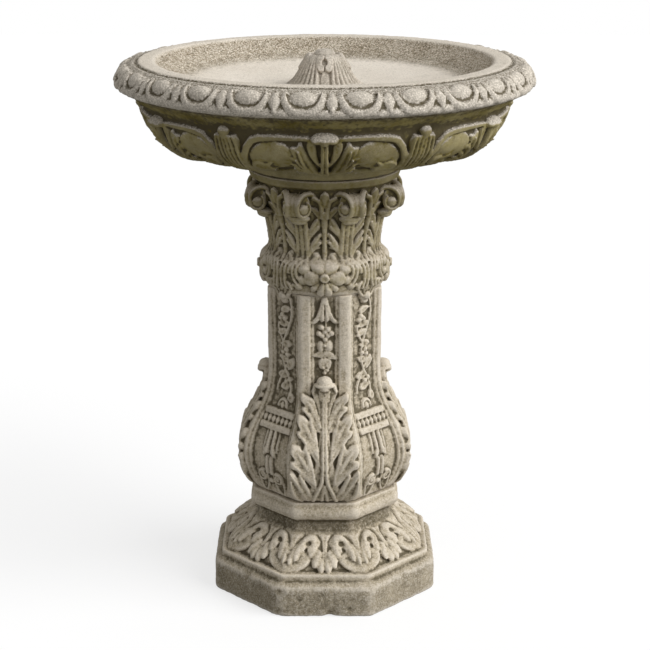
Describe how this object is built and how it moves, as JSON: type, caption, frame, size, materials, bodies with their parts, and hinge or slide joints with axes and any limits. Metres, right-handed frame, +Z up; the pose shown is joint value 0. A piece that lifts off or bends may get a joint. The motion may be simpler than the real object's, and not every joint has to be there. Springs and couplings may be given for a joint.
{
  "type": "stone birdbath",
  "caption": "Carved stone birdbath: round bowl with egg-and-dart lip and leaf boss on an octagonal leaf-carved pedestal and plinth.",
  "frame": {"origin": "middle of the plinth's underside, on the ground", "axes": "+Z up along the pedestal; one flat of the octagon, with a rosette and a leaf, faces -Y"},
  "size_m": [0.644, 0.6439, 0.876],
  "materials": {
    "pedestal_stone": "weathered carved limestone, matt, with dark crevices",
    "bowl_stone": "weathered limestone, speckled grey lip, pale inside, mossy underside",
    "dowel_steel": "plain stainless bar",
    "grout": "cement grout",
    "setting_pad": "black rubber"
  },
  "bodies": {
    "plinth": {"plinth": "pedestal_stone", "plinth_dowel": "dowel_steel", "plinth_grout": "grout", "plinth_pads": "setting_pad"},
    "shaft": {"shaft": "pedestal_stone", "shaft_dowel": "dowel_steel", "shaft_grout": "grout", "shaft_pads": "setting_pad"},
    "capital": {"capital": "pedestal_stone", "capital_dowel": "dowel_steel", "capital_grout": "grout", "capital_pads": "setting_pad"},
    "basin": {"basin": "bowl_stone"},
    "boss": {"boss": "bowl_stone", "boss_dowel": "dowel_steel"}
  },
  "joints": [
    {"name": "shaft_lift", "type": "slide", "parent": "plinth", "child": "shaft", "axis": [0, 0, 1], "range_m": [0, 0.09]},
    {"name": "capital_lift", "type": "slide", "parent": "shaft", "child": "capital", "axis": [0, 0, 1], "range_m": [0, 0.075]},
    {"name": "basin_lift", "type": "slide", "parent": "capital", "child": "basin", "axis": [0, 0, 1], "range_m": [0, 0.08]},
    {"name": "boss_lift", "type": "slide", "parent": "basin", "child": "boss", "axis": [0, 0, 1], "range_m": [0, 0.045]}
  ]
}
